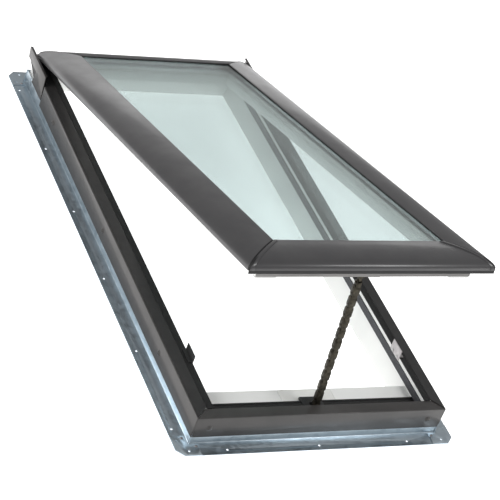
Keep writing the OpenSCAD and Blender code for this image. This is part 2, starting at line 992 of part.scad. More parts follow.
module chain_bracket() {
    high = bottom_rail_z;
    color(steel)
        opened()
            difference() {
                union() {
                    block([-screw_x - 6, sash_front + 2, high - 1.6],
                          [screw_x + 6, sash_front + 40, high - 0.02]);
                    for (side = [-1, 1])
                        on_side(side)
                            along_x(3.5, 5.5) {
                                translate([chain_front, chain_z]) circle(r = 4.2);
                                translate([chain_front - 4.2, chain_z])
                                    square([8.4, high - chain_z - 0.1]);
                            }
                }
                bar_x(-7, 7, chain_front, chain_z, link_pin_r + pin_gap);
                for (side = [-1, 1])
                    translate([side * screw_x, bracket_screw_y, high - 3])
                        cylinder(h = 4, r = bracket_hole_r);
            }
}

module chain_pin() {
    color(steel)
        opened() {
            bar_x(-6, 6, chain_front, chain_z, link_pin_r);
            bar_x(5.6, 6.8, chain_front, chain_z, 3.6);
        }
}

module bracket_screws() {
    color(steel)
        opened()
            for (side = [-1, 1])
                translate([side * screw_x, bracket_screw_y, bottom_rail_z - 1.6])
                    mirror([0, 0, 1]) pan_head(4);
}

// ---------- sash timber ----------

// Cross-section of a sash rail: an inner step that carries the glass.
module rail_outline(w, low, step) {
    polygon([
        [0, low],
        [w, low],
        [w, pane_low - 0.2],
        [step, pane_low - 0.2],
        [step, sash_top_z - 8],
        [step * 0.45, sash_top_z - 8],
        [0, sash_top_z - 16]
    ]);
}

module sash_side() {
    opened()
        translate([rail_out, 0, 0])
            along_y(sash_front, sash_back)
                mirror([1, 0, 0]) rail_outline(rail_w, rail_z, side_step);
}

module sash_side_left() {
    color(white_paint) mirror([1, 0, 0]) sash_side();
}

module sash_side_right() {
    color(white_paint) sash_side();
}

module sash_bottom_rail() {
    color(white_paint)
        opened()
            translate([0, sash_front, 0])
                along_x(-rail_in, rail_in)
                    rail_outline(bottom_rail_w, bottom_rail_z, bottom_rail_w - edge_cover - 5);
}

module sash_top_rail() {
    color(white_paint)
        opened()
            translate([0, sash_back, 0])
                mirror([0, 1, 0])
                    along_x(-rail_in, rail_in)
                        rail_outline(top_sash_w, rail_z, sash_back - glass_back - edge_cover - 2);
}

// ---------- sash covers ----------

// Points of a cover's crown, from the skirt to the glass edge, for a skin lowered by t.
function crown(w, t) = [for (i = [0 : cover_steps])
    let (a = 90 * i / cover_steps)
    [w - (w - t) * cos(a), skirt_z + skirt_h + (crown_h - t) * sin(a)]];

function reversed(list) = [for (i = [len(list) - 1 : -1 : 0]) list[i]];

module cover_outline(w) {
    polygon(concat(
        [[0, skirt_z]],
        crown(w, 0),
        reversed(crown(w, cover_t)),
        [[cover_t, skirt_z]]
    ));
}

// Plan wedge of a side cover, between the two mitres.
module side_wedge() {
    far = 20;
    slope_front = cover_bottom_w / cover_side_w;
    slope_back = cover_top_w / cover_side_w;
    translate([0, 0, skirt_z - 5])
        linear_extrude(60)
            polygon([
                [cover_half + far, cover_front - far * slope_front + cover_joint],
                [glass_x - 1, cover_front + (cover_side_w + 1) * slope_front + cover_joint],
                [glass_x - 1, cover_back - (cover_side_w + 1) * slope_back - cover_joint],
                [cover_half + far, cover_back + far * slope_back - cover_joint]
            ]);
}

module side_cover() {
    intersection() {
        translate([cover_half, 0, 0])
            along_y(cover_front, cover_back)
                mirror([1, 0, 0]) cover_outline(cover_side_w);
        side_wedge();
    }
}

// Plan wedge of an end cover, between its two mitres.
module end_wedge(y_out, y_in) {
    translate([0, 0, skirt_z - 5])
        linear_extrude(60)
            polygon([
                [-cover_half + cover_joint, y_out],
                [cover_half - cover_joint, y_out],
                [glass_x - cover_joint, y_in],
                [-glass_x + cover_joint, y_in]
            ]);
}

module cover_left() {
    color(clad_grey) opened() mirror([1, 0, 0]) side_cover();
}

module cover_right() {
    color(clad_grey) opened() side_cover();
}

module cover_bottom() {
    color(clad_grey)
        opened()
            intersection() {
                translate([0, cover_front, 0])
                    along_x(-cover_half, cover_half) cover_outline(cover_bottom_w);
                end_wedge(cover_front, glass_front);
            }
}

module cover_top() {
    color(clad_grey)
        opened()
            intersection() {
                translate([0, cover_back, 0])
                    mirror([0, 1, 0])
                        along_x(-cover_half, cover_half) cover_outline(cover_top_w);
                end_wedge(cover_back, glass_back);
            }
}

// ---------- glazing ----------

// A flat rectangular ring round the glass, between two insets from its visible edge.
module glass_ring(out, into, z0, z1) {
    difference() {
        block([-glass_x - out, glass_front - out, z0], [glass_x + out, glass_back + out, z1]);
        block([-glass_x + into, glass_front + into, z0 - 1], [glass_x - into, glass_back - into, z1 + 1]);
    }
}

module glazing_gasket() {
    color(rubber_black)
        opened() glass_ring(4, gasket_lip, pane_top + 0.02, pane_top + gasket_t - 0.1);
}

module outer_pane() {
    color(glass_tint)
        opened()
            block([-glass_x - edge_cover, glass_front - edge_cover, pane_top - pane_t],
                  [glass_x + edge_cover, glass_back + edge_cover, pane_top]);
}

module inner_pane() {
    color(glass_tint)
        opened()
            block([-glass_x - edge_cover, glass_front - edge_cover, pane_low],
                  [glass_x + edge_cover, glass_back + edge_cover, pane_low + inner_t]);
}

module spacer_bar() {
    out = edge_cover - 5;
    color([0.7, 0.7, 0.7])
        opened() glass_ring(out, spacer_w - out, pane_low + inner_t + 0.02, pane_top - pane_t - 0.02);
}

module edge_sealant() {
    color([0.15, 0.15, 0.15])
        opened()
            glass_ring(edge_cover, 4.9 - edge_cover, pane_low + inner_t + 0.02, pane_top - pane_t - 0.02);
}

frame_side_left();
frame_side_right();
frame_bottom_rail();
frame_top_rail();
cladding_left();
cladding_right();
cladding_bottom();
cladding_top();
cladding_screws();
frame_seal_left();
frame_seal_right();
frame_seal_top();
sill_seal();
draught_strip_left();
draught_strip_right();
flange_left();
flange_right();
flange_bottom();
flange_top();
flange_rivets();
corner_piece_bottom_left();
corner_piece_bottom_right();
corner_piece_top_left();
corner_piece_top_right();
hinge_bracket_left();
hinge_bracket_right();
hinge_cover_left();
hinge_cover_right();
hinge_pin_left();
hinge_pin_right();
hinge_leaf_left();
hinge_leaf_right();
guide_plate_left();
guide_plate_right();
guide_screws();
operator_housing();
operator_lid();
operator_cover();
sprocket();
worm_wheel();
crank_worm();
crank_eye();
chain();
chain_end_link();
chain_bracket();
chain_pin();
bracket_screws();
sash_side_left();
sash_side_right();
sash_bottom_rail();
sash_top_rail();
cover_left();
cover_right();
cover_bottom();
cover_top();
glazing_gasket();
outer_pane();
inner_pane();
spacer_bar();
edge_sealant();
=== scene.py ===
import json
import math

import bmesh
import bpy
from mathutils import Matrix, Vector


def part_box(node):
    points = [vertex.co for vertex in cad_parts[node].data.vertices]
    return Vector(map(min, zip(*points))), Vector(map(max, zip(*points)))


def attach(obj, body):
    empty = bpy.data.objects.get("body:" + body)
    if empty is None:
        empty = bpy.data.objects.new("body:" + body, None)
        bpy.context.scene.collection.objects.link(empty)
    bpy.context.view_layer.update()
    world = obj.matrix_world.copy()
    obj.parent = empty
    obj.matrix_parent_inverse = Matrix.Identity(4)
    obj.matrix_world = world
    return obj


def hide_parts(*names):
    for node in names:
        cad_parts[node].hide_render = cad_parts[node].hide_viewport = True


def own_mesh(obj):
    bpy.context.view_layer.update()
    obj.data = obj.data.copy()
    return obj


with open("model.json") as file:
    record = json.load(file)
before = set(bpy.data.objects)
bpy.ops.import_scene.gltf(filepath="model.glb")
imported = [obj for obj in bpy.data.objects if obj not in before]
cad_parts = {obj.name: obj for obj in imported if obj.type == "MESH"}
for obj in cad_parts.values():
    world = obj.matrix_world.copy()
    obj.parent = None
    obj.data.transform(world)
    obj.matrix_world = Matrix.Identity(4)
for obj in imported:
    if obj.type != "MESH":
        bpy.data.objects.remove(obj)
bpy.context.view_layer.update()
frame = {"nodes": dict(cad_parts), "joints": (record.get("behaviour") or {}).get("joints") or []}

mm = 0.001
weld = 0.01 * mm  # vertices nearer than this are merged
nodes = frame["nodes"]
hinge = next(joint for joint in frame["joints"] if joint["name"] == "sash_hinge")
hingeAt = Vector(hinge["pos_m"])
openAngle = math.radians(hinge["range_deg"][1])
bpy.context.scene.view_settings.view_transform = "Standard"


def toLinear(hexText):
    # sRGB hex to the linear colour a shader socket takes
    parts = [int(hexText[i:i + 2], 16) / 255 for i in (1, 3, 5)]
    return tuple(p / 12.92 if p <= 0.04045 else ((p + 0.055) / 1.055) ** 2.4 for p in parts) + (1.0,)


def clearSelection():
    if bpy.context.object and bpy.context.object.mode != "OBJECT":
        bpy.ops.object.mode_set(mode="OBJECT")
    bpy.ops.object.select_all(action="DESELECT")


def makeActive(*pieces):
    clearSelection()
    for piece in pieces:
        piece.select_set(True)
    bpy.context.view_layer.objects.active = pieces[0]


def nameNew(name):
    piece = bpy.context.object
    piece.name = name
    piece.data.name = name
    bpy.ops.object.mode_set(mode="EDIT")
    return piece


def pick(kind, test):
    # selects verts, edges or faces in edit mode by where their middle is, in the row frame
    piece = bpy.context.object
    bpy.ops.mesh.select_mode(type=kind)
    bpy.ops.mesh.select_all(action="DESELECT")
    mesh = bmesh.from_edit_mesh(piece.data)
    place = piece.matrix_world
    for item in {"VERT": mesh.verts, "EDGE": mesh.edges, "FACE": mesh.faces}[kind]:
        if kind == "VERT":
            middle = item.co
        elif kind == "EDGE":
            middle = (item.verts[0].co + item.verts[1].co) / 2
        else:
            middle = item.calc_center_median()
        if test(place @ middle):
            item.select_set(True)
    mesh.select_flush_mode()
    bmesh.update_edit_mesh(piece.data)


def extrudeBy(vector):
    bpy.ops.mesh.extrude_region_move(TRANSFORM_OT_translate={"value": tuple(vector)})


def cutAway(point, outward):
    # bisects the whole mesh and drops what lies beyond the plane
    bpy.ops.mesh.select_mode(type="VERT")
    bpy.ops.mesh.select_all(action="SELECT")
    bpy.ops.mesh.bisect(plane_co=tuple(point), plane_no=tuple(outward), clear_outer=True, use_fill=False)


def applyModifier(piece, kind, **settings):
    makeActive(piece)
    modifier = piece.modifiers.new(kind.title(), kind)
    for key, value in settings.items():
        setattr(modifier, key, value)
    bpy.ops.object.modifier_apply(modifier=modifier.name)


def easeEdges(piece, width, sharpAbove=50):
    applyModifier(
        piece, "BEVEL", width=width, segments=2, limit_method="ANGLE",
        angle_limit=math.radians(sharpAbove))


def bakePlace(piece):
    makeActive(piece)
    bpy.ops.object.transform_apply(location=True, rotation=True, scale=True)


def tidyNormals(piece):
    makeActive(piece)
    bpy.ops.object.mode_set(mode="EDIT")
    bpy.ops.mesh.select_all(action="SELECT")
    bpy.ops.mesh.remove_doubles(threshold=weld)
    bpy.ops.mesh.normals_make_consistent(inside=False)
    bpy.ops.object.mode_set(mode="OBJECT")


def swingOpen(piece):
    # from shut, where it is modelled, up to the open rest pose
    there = Matrix.Translation(hingeAt)
    piece.matrix_world = there @ Matrix.Rotation(-openAngle, 4, "X") @ there.inverted() @ piece.matrix_world
    bakePlace(piece)


def finishPiece(piece, body, finish, replaced=(), smoothBelow=35):
    bakePlace(piece)
    makeActive(piece)
    bpy.ops.object.shade_smooth_by_angle(angle=math.radians(smoothBelow))
    piece.data.materials.clear()
    piece.data.materials.append(finish)
    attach(piece, body)
    if replaced:
        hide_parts(*replaced)
    clearSelection()
    return piece


def joinAll(parts, name):
    makeActive(*parts)
    bpy.ops.object.join()
    whole = bpy.context.object
    whole.name = name
    whole.data.name = name
    return whole


def softened(name, source, body, finish, width):
    # the node's mesh merged, its flats made whole and its sharp edges eased
    clearSelection()
    piece = bpy.data.objects.new(name, nodes[source].data.copy())
    bpy.context.collection.objects.link(piece)
    makeActive(piece)
    bpy.ops.object.mode_set(mode="EDIT")
    bpy.ops.mesh.select_all(action="SELECT")
    bpy.ops.mesh.remove_doubles(threshold=weld)
    bpy.ops.mesh.dissolve_limited(angle_limit=math.radians(1))
    bpy.ops.object.mode_set(mode="OBJECT")
    easeEdges(piece, width, 40)
    return finishPiece(piece, body, finish, [source])


def copyTo(master, places, name):
    # one copy with its own mesh at each place, joined, and the pattern piece dropped
    copies = []
    for place in places:
        twin = bpy.data.objects.new(name, master.data.copy())
        bpy.context.collection.objects.link(twin)
        twin.matrix_world = place
        bakePlace(twin)
        copies.append(twin)
    bpy.data.objects.remove(master)
    return joinAll(copies, name)


def addNode(tree, kind, settings, sockets):
    # a socket value is a number, a colour or another node's output
    node = tree.nodes.new("ShaderNode" + kind)
    for key, value in settings.items():
        setattr(node, key, value)
    for key, value in sockets.items():
        if isinstance(value, bpy.types.NodeSocket):
            tree.links.new(value, node.inputs[key])
        else:
            node.inputs[key].default_value = value
    return node


def newFinish(name, shader):
    finish = bpy.data.materials.new(name)
    finish.use_nodes = True
    tree = finish.node_tree
    tree.nodes.clear()
    surface = addNode(tree, "BsdfPrincipled", {}, shader)
    addNode(tree, "OutputMaterial", {}, {"Surface": surface.outputs[0]})
    where = addNode(tree, "TexCoord", {}, {}).outputs["Object"]
    return finish, tree, surface, where


def twoTone(tree, factor, low, high):
    mix = addNode(tree, "Mix", {"data_type": "RGBA"}, {0: factor, 6: toLinear(low), 7: toLinear(high)})
    return mix.outputs[2]


def spread(tree, value, low, high):
    return addNode(tree, "MapRange", {}, {0: value, 1: 0.3, 2: 0.7, 3: low, 4: high}).outputs[0]


def paintedPine(name, grain):
    # factory-painted pine: an opaque satin white film that lets a little of the grain stand through
    finish, tree, surface, where = newFinish(name, {"IOR": 1.48, "Roughness": 0.45})
    along = {"X": (8, 160, 160), "Y": (160, 8, 160)}[grain]  # early wood bands about 6 mm apart, 120 mm long
    lay = addNode(tree, "Mapping", {}, {"Vector": where, "Scale": along}).outputs[0]
    bands = addNode(tree, "TexNoise", {}, {
        "Vector": lay, "Scale": 1.0, "Detail": 3.0, "Roughness": 0.55}).outputs[0]
    # 1.4 mm roller stipple and a 110 mm drift of shade
    stipple = addNode(tree, "TexNoise", {}, {"Vector": where, "Scale": 700.0, "Detail": 1.0}).outputs[0]
    cloud = addNode(tree, "TexNoise", {}, {"Vector": where, "Scale": 9.0, "Detail": 2.0}).outputs[0]
    shade = twoTone(tree, spread(tree, cloud, 0.0, 1.0), "#f1f1ef", "#e6e7e5")
    tree.links.new(shade, surface.inputs["Base Color"])
    tree.links.new(spread(tree, bands, 0.38, 0.52), surface.inputs["Roughness"])
    relief = addNode(tree, "Bump", {}, {"Height": bands, "Strength": 0.16, "Distance": 0.0004})
    film = addNode(tree, "Bump", {}, {
        "Height": stipple, "Strength": 0.08, "Distance": 0.0002, "Normal": relief.outputs[0]})
    tree.links.new(film.outputs[0], surface.inputs["Normal"])
    return finish


def sprayedCoat(name, light, dark, rough, coat=0.25):
    # polyester baked on roll-formed aluminium and the sprayed coats of screw heads, and the same coat on
    # sheets that are painted shade:
    # an even satin or matt colour with faint orange peel
    finish, tree, surface, where = newFinish(name, {"IOR": 1.5, "Coat Weight": coat, "Coat Roughness": 0.14})
    # 2.4 mm orange peel and a 70 mm drift of tone
    peel = addNode(tree, "TexNoise", {}, {"Vector": where, "Scale": 420.0, "Detail": 2.0}).outputs[0]
    drift = addNode(tree, "TexNoise", {}, {
        "Vector": where, "Scale": 14.0, "Detail": 4.0, "Roughness": 0.6}).outputs[0]
    tree.links.new(twoTone(tree, spread(tree, drift, 0.0, 1.0), light, dark), surface.inputs["Base Color"])
    tree.links.new(spread(tree, drift, rough - 0.04, rough + 0.05), surface.inputs["Roughness"])
    bump = addNode(tree, "Bump", {}, {"Height": peel, "Strength": 0.06, "Distance": 0.0003})
    tree.links.new(bump.outputs[0], surface.inputs["Normal"])
    return finish


def galvanisedSteel(name):
    # hot-dip galvanised sheet: zinc crystals of 6 to 12 mm, each with its own grey and gloss
    finish, tree, surface, where = newFinish(name, {"Metallic": 1.0})
    bend = addNode(tree, "TexNoise", {}, {"Vector": where, "Scale": 60.0, "Detail": 2.0}).outputs[1]
    wander = addNode(tree, "Mix", {"data_type": "VECTOR"}, {0: 0.012, 4: where, 5: bend}).outputs[1]
    crystal = addNode(tree, "TexVoronoi", {}, {"Vector": wander, "Scale": 110.0})  # 9 mm spangle
    tone = addNode(tree, "SeparateColor", {}, {0: crystal.outputs["Color"]}).outputs[0]
    drift = addNode(tree, "TexNoise", {}, {"Vector": where, "Scale": 7.0, "Detail": 3.0}).outputs[0]
    blend = addNode(tree, "Math", {"operation": "MULTIPLY_ADD"}, {0: tone, 1: 0.45, 2: drift}).outputs[0]
    shade = twoTone(tree, spread(tree, blend, 0.0, 1.0), "#aebbc4", "#c0ccd4")
    tree.links.new(shade, surface.inputs["Base Color"])
    gloss = addNode(tree, "MapRange", {}, {0: tone, 3: 0.3, 4: 0.48}).outputs[0]
    tree.links.new(gloss, surface.inputs["Roughness"])
    bump = addNode(tree, "Bump", {}, {
        "Height": crystal.outputs["Distance"], "Strength": 0.07, "Distance": 0.0004})
    tree.links.new(bump.outputs[0], surface.inputs["Normal"])
    return finish


def mouldedRubber(name, colour, faded, grain, rough):
    # extruded rubber or moulded plastic: fine matt grain and a slightly uneven shade
    finish, tree, surface, where = newFinish(name, {"IOR": 1.5})
    grit = 1000.0 / grain  # grain in millimetres
    speck = addNode(tree, "TexNoise", {}, {"Vector": where, "Scale": grit, "Detail": 2.0}).outputs[0]
    drift = addNode(tree, "TexNoise", {}, {"Vector": where, "Scale": 30.0, "Detail": 3.0}).outputs[0]
    tree.links.new(twoTone(tree, spread(tree, drift, 0.0, 1.0), colour, faded), surface.inputs["Base Color"])
    tree.links.new(spread(tree, speck, rough - 0.06, rough + 0.08), surface.inputs["Roughness"])
    bump = addNode(tree, "Bump", {}, {"Height": speck, "Strength": 0.15, "Distance": 0.0002})
    tree.links.new(bump.outputs[0], surface.inputs["Normal"])
    return finish


def pileStrip(name):
    # woven pile draught strip: short dark fibres, rough and mottled
    finish, tree, surface, where = newFinish(name, {
        "IOR": 1.46, "Roughness": 0.9, "Sheen Weight": 0.35, "Sheen Roughness": 0.5})
    fibre = addNode(tree, "TexNoise", {}, {
        "Vector": where, "Scale": 620.0, "Detail": 5.0, "Roughness": 0.7}).outputs[0]  # 1.6 mm tufts
    shade = twoTone(tree, spread(tree, fibre, 0.0, 1.0), "#1b1b20", "#34343b")
    tree.links.new(shade, surface.inputs["Base Color"])
    bump = addNode(tree, "Bump", {}, {"Height": fibre, "Strength": 0.6, "Distance": 0.0008})
    tree.links.new(bump.outputs[0], surface.inputs["Normal"])
    return finish


def platedMetal(name, light, dark, rough, grain):
    # stamped, rolled or turned metal, bare, plated or oiled: fine brushed noise and small stains
    finish, tree, surface, where = newFinish(name, {"Metallic": 1.0})
    grit = 1000.0 / grain  # grain in millimetres
    fine = addNode(tree, "TexNoise", {}, {"Vector": where, "Scale": grit, "Detail": 3.0}).outputs[0]
    stain = addNode(tree, "TexNoise", {}, {
        "Vector": where, "Scale": 90.0, "Detail": 4.0, "Roughness": 0.65}).outputs[0]
    tree.links.new(twoTone(tree, spread(tree, stain, 0.0, 1.0), light, dark), surface.inputs["Base Color"])
    tree.links.new(spread(tree, fine, rough - 0.07, rough + 0.1), surface.inputs["Roughness"])
    bump = addNode(tree, "Bump", {}, {"Height": fine, "Strength": 0.12, "Distance": 0.0001})
    tree.links.new(bump.outputs[0], surface.inputs["Normal"])
    return finish


def coatedGlass(name, tint, shade):
    # float or laminated glass: clear, a little green in the body, faintly uneven
    finish, tree, surface, where = newFinish(name, {
        "IOR": 1.5, "Transmission Weight": 1.0, "Roughness": 0.0})
    wave = addNode(tree, "TexNoise", {}, {"Vector": where, "Scale": 6.0, "Detail": 1.0}).outputs[0]
    tree.links.new(twoTone(tree, spread(tree, wave, 0.0, 1.0), tint, shade), surface.inputs["Base Color"])
    bump = addNode(tree, "Bump", {}, {"Height": wave, "Strength": 0.01, "Distance": 0.0005})
    tree.links.new(bump.outputs[0], surface.inputs["Normal"])
    return finish


pineAlong = paintedPine("paintedPineAlongSlope", "Y")
pineAcross = paintedPine("paintedPineAcross", "X")
claddingCoat = sprayedCoat("bakedAluminiumCladding", "#413e3d", "#393736", 0.4)
# the same cladding paint made darker for the bottom and top profiles: painted shade
shadedEndCoat = sprayedCoat("bakedAluminiumPaintedShadeEnd", "#383534", "#302e2d", 0.42)
coverCoat = sprayedCoat("bakedAluminiumCover", "#434243", "#3c3b3d", 0.38, 0.3)
zincSheet = galvanisedSteel("galvanisedSheet")
sealRubber = mouldedRubber("extrudedRubberSeal", "#0b0b0b", "#141415", 1.6, 0.6)
blackPlastic = mouldedRubber("mouldedBlackPlastic", "#161616", "#202021", 1.2, 0.45)
whitePlastic = mouldedRubber("mouldedWhitePlastic", "#e9e9e6", "#dededa", 1.2, 0.4)
pile = pileStrip("wovenPileStrip")
platedSteel = platedMetal("zincPlatedSteel", "#b9babb", "#93928f", 0.34, 1.5)
guideSteel = platedMetal("stampedGuideSteel", "#b4b0b1", "#9a9697", 0.45, 1.5)
chainSteel = platedMetal("oiledChainSteel", "#4c483f", "#262420", 0.38, 1.2)
turnedBrass = platedMetal("turnedBrass", "#c9a352", "#a67f38", 0.35, 1.2)
spacerAlloy = platedMetal("rolledAluminiumSpacer", "#c7cacb", "#adb1b2", 0.38, 1.5)
# mid-grey coat for the strip over the sash rail's white front: painted shade
shadeStripCoat = sprayedCoat("paintedShadeRailFront", "#8a8886", "#7d7b79", 0.4)
screwCoat = sprayedCoat("paintedScrewHead", "#3a3735", "#312f2d", 0.36)
# near-black coat for the sheets on the side claddings' top legs: painted shade
shadeSheetCoat = sprayedCoat("paintedShadeSideTops", "#262424", "#1e1d1d", 0.6)
glassOuter = coatedGlass("coatedFloatGlassOuter", "#eaf4f3", "#e8f2f1")
glassInner = coatedGlass("laminatedGlassInner", "#eef6f6", "#ecf4f4")
print("finishes ready")

# nodes that keep their own shape and aren't steel; the rest are steel or hidden behind new pieces
finishOf = {
    "frame_seal_left": sealRubber, "frame_seal_right": sealRubber, "frame_seal_top": sealRubber,
    "glazing_gasket": sealRubber, "edge_sealant": sealRubber,
    "draught_strip_left": pile, "draught_strip_right": pile,
    "operator_housing": blackPlastic, "operator_cover": whitePlastic,
    "hinge_bracket_left": blackPlastic, "hinge_bracket_right": blackPlastic,
    "flange_rivets": guideSteel, "worm_wheel": turnedBrass, "spacer_bar": spacerAlloy,
    "chain_end_link": chainSteel, "chain_bracket": chainSteel, "chain_pin": chainSteel,
    "outer_pane": glassOuter, "inner_pane": glassInner,
}
for name, node in nodes.items():
    node.data.materials.clear()
    node.data.materials.append(finishOf.get(name, platedSteel))
print("frame nodes finished:", len(nodes))


def layEdge(name, start, end):
    # a plane laid beside the line and trimmed to the one edge on it, left selected for extruding
    run = end - start
    middle = (start + end) / 2
    turn = math.atan2(run.y, run.x)
    aside = Matrix.Rotation(turn, 3, "Z") @ Vector((0, run.length / 2, 0))
    clearSelection()
    bpy.ops.mesh.primitive_plane_add(size=run.length, location=middle - aside, rotation=(0, 0, turn))
    piece = nameNew(name)
    pick("VERT", lambda p: (p - middle).dot(aside) < -aside.length ** 2 * 0.1)
    bpy.ops.mesh.delete(type="VERT")
    bpy.ops.mesh.select_mode(type="EDGE")
    bpy.ops.mesh.select_all(action="SELECT")
    return piece


def foldSheet(name, start, end, steps, thick, bend, cuts=()):
    # one edge extruded through each step, its folds rounded, its ends cut, then given its thickness
    piece = layEdge(name, start, end)
    corner = (start + end) / 2
    folds = []
    for number, step in enumerate(steps):
        extrudeBy(step)
        corner = corner + step
        if number < len(steps) - 1:
            folds.append(corner.copy())
    if folds and bend:
        pick("EDGE", lambda p: any((p - fold).length < 0.0001 for fold in folds))
        bpy.ops.mesh.bevel(offset=bend, offset_type="OFFSET", segments=4, affect="EDGES")
    for point, outward in cuts:
        cutAway(point, outward)
    bpy.ops.object.mode_set(mode="OBJECT")
    bakePlace(piece)
    applyModifier(piece, "SOLIDIFY", thickness=thick, offset=0, use_even_offset=True)
    tidyNormals(piece)
    return piece


claddingSizes = {
    "halfWidth": 280 * mm, "foot": 17.4 * mm, "top": 67.6 * mm, "sheet": 1.2 * mm, "bend": 1.3 * mm,
    "sideLeg": 28 * mm, "endLeg": 24 * mm, "rise": 3.3 / 42, "joint": 0.35 * mm, "edge": 0.25 * mm,
}


def frameCladding():
    c = claddingSizes
    half = c["sheet"] / 2
    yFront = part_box("cladding_bottom")[0][1]
    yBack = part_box("cladding_top")[1][1]
    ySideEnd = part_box("cladding_left")[1][1]
    outer = c["halfWidth"] - half
    up = Vector((0, 0, c["top"] - half - c["foot"]))
    for word, side in (("left", -1), ("right", 1)):
        inward = Vector((-side, 0, c["rise"])) * (c["sideLeg"] - half)
        corner = Vector((side * c["halfWidth"], yFront + c["joint"], 0))
        low = Vector((side * outer, yFront, c["foot"]))
        high = Vector((side * outer, ySideEnd, c["foot"]))
        mitre = [(corner, Vector((-side, -1, 0)))]
        piece = foldSheet("cladding" + word.title(), low, high, (up, inward), c["sheet"], c["bend"], mitre)
        easeEdges(piece, c["edge"])
        finishPiece(piece, "frame", claddingCoat, ["cladding_" + word])
    inward = Vector((0, 1, c["rise"])) * (c["endLeg"] - half)
    y = yFront + half
    cutX = c["halfWidth"] - c["joint"]
    cuts = [(Vector((side * cutX, yFront, 0)), Vector((side, 1, 0))) for side in (-1, 1)]
    piece = foldSheet(
        "claddingBottom", Vector((-outer, y, c["foot"])), Vector((outer, y, c["foot"])),
        (up, inward), c["sheet"], c["bend"], cuts)
    easeEdges(piece, c["edge"])
    # the bottom profile takes the darker painted-shade copy of the cladding coat
    finishPiece(piece, "frame", shadedEndCoat, ["cladding_bottom"])
    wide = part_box("cladding_top")[1][0]
    inward = Vector((0, -1, c["rise"])) * (c["endLeg"] - half)
    piece = foldSheet(
        "claddingTop", Vector((-wide, yBack - half, c["foot"])), Vector((wide, yBack - half, c["foot"])),
        (up, inward), c["sheet"], c["bend"])
    easeEdges(piece, c["edge"])
    # the top profile takes the darker painted-shade copy of the cladding coat
    finishPiece(piece, "frame", shadedEndCoat, ["cladding_top"])


frameCladding()
print("frame cladding folded")

coverSizes = {
    "halfWidth": 270 * mm, "reach": 1180.3 * mm, "gap": 10.5 * mm, "sideWidth": 80 * mm,
    "bottomWidth": 74 * mm, "topWidth": 59.5 * mm, "skirt": 5 * mm, "crown": 24 * mm, "sheet": 1.5 * mm,
    "joint": 1.5 * mm, "hem": 2.2 * mm, "edge": 0.35 * mm,
    "gasket": 4 * mm, "capNear": 2.2 * mm, "capFar": 8.5 * mm, "capRise": 0.7 * mm, "steps": 24,
    "gasketSunk": 0.7,  # of the cover's sheet thickness
}


def crownedCover(name, start, end, inward, width, mitres, replaced=(), under=0.0):
    # skirt extruded up, crown spun over a quarter turn and drawn out to the width, hem turned down
    c = coverSizes
    half = c["sheet"] / 2 + under
    middle = (start + end) / 2 + inward * half
    piece = layEdge(name, start + inward * half, end + inward * half)
    extrudeBy((0, 0, c["skirt"]))
    high = c["crown"] - half
    centre = middle + inward * high + Vector((0, 0, c["skirt"]))
    axis = Vector((0, 0, 1)).cross(inward)  # turns outward-facing side over to the top
    bpy.ops.mesh.spin(steps=c["steps"], angle=-math.pi / 2, center=tuple(centre), axis=tuple(axis))
    mesh = bmesh.from_edit_mesh(piece.data)
    place = piece.matrix_world
    back = place.inverted()
    stretch = (width - half) / high
    for vert in mesh.verts:
        here = place @ vert.co
        across = (here - middle).dot(inward)
        vert.co = back @ (here + inward * across * (stretch - 1))
    bmesh.update_edit_mesh(piece.data)
    edgeAt = (width - half) + inward.dot(middle)
    pick("EDGE", lambda p: abs(p.dot(inward) - edgeAt) < 0.0002)
    extrudeBy((0, 0, -c["hem"]))
    for point, outward in mitres:
        cutAway(point, outward)
    bpy.ops.object.mode_set(mode="OBJECT")
    bakePlace(piece)
    applyModifier(piece, "SOLIDIFY", thickness=c["sheet"], offset=0, use_even_offset=True)
    tidyNormals(piece)
    easeEdges(piece, c["edge"], 45)
    swingOpen(piece)
    finish, slotName = (sealRubber, "rubber") if under > 0 else (coverCoat, "cover")
    return finishPiece(piece, "sash", finish, replaced, smoothBelow=30)


